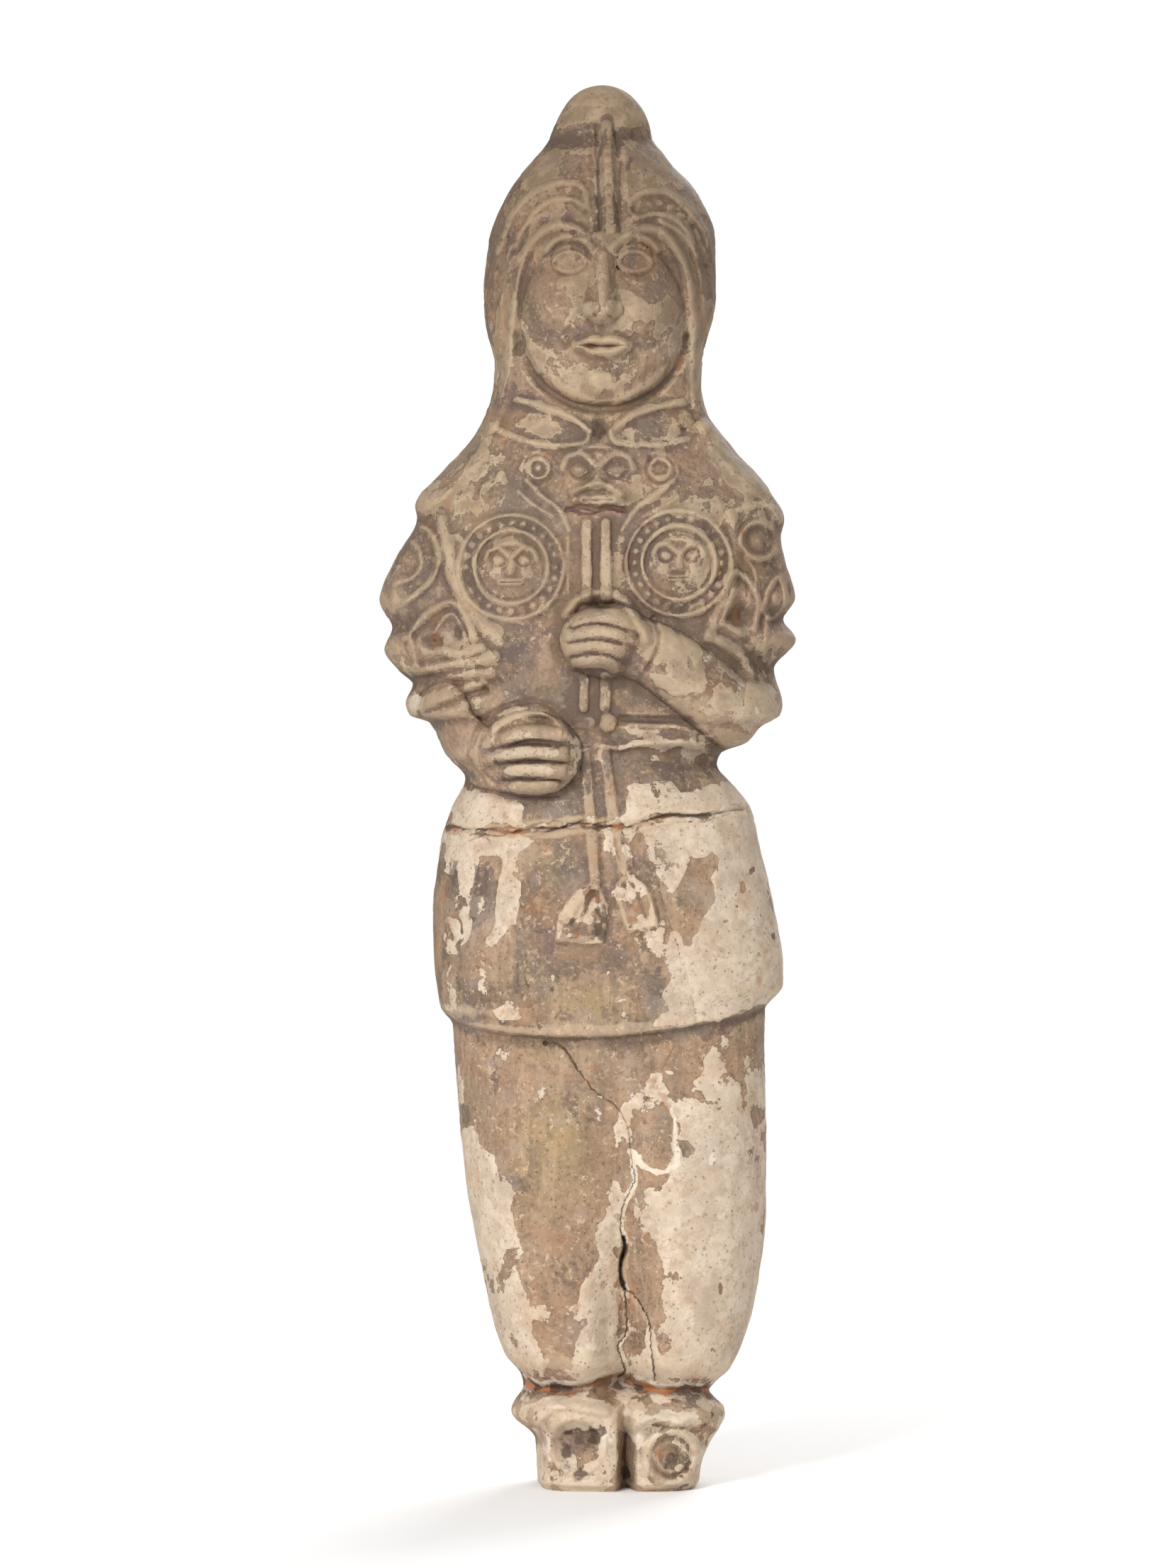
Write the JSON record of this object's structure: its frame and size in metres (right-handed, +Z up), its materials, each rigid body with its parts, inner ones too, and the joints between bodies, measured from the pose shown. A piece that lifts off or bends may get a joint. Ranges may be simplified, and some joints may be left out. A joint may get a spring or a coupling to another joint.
{
  "type": "tomb guardian figure",
  "caption": "Standing armoured tomb guardian in moulded terracotta, fists before the chest, a beast mask and roundels on the breastplate, flat soles.",
  "frame": {"origin": "on the underside of the soles, midway between the two feet", "axes": "+Z up from the soles to the crown of the helmet, the figure looks along -Y, and +X is to the right of a viewer who faces it"},
  "size_m": [0.1749, 0.1226, 0.592],
  "materials": {
    "terracotta": "matt fired clay with worn pale slip and traces of grey and red paint"
  },
  "bodies": {
    "root": {"guardian_figure": "terracotta"}
  },
  "joints": []
}
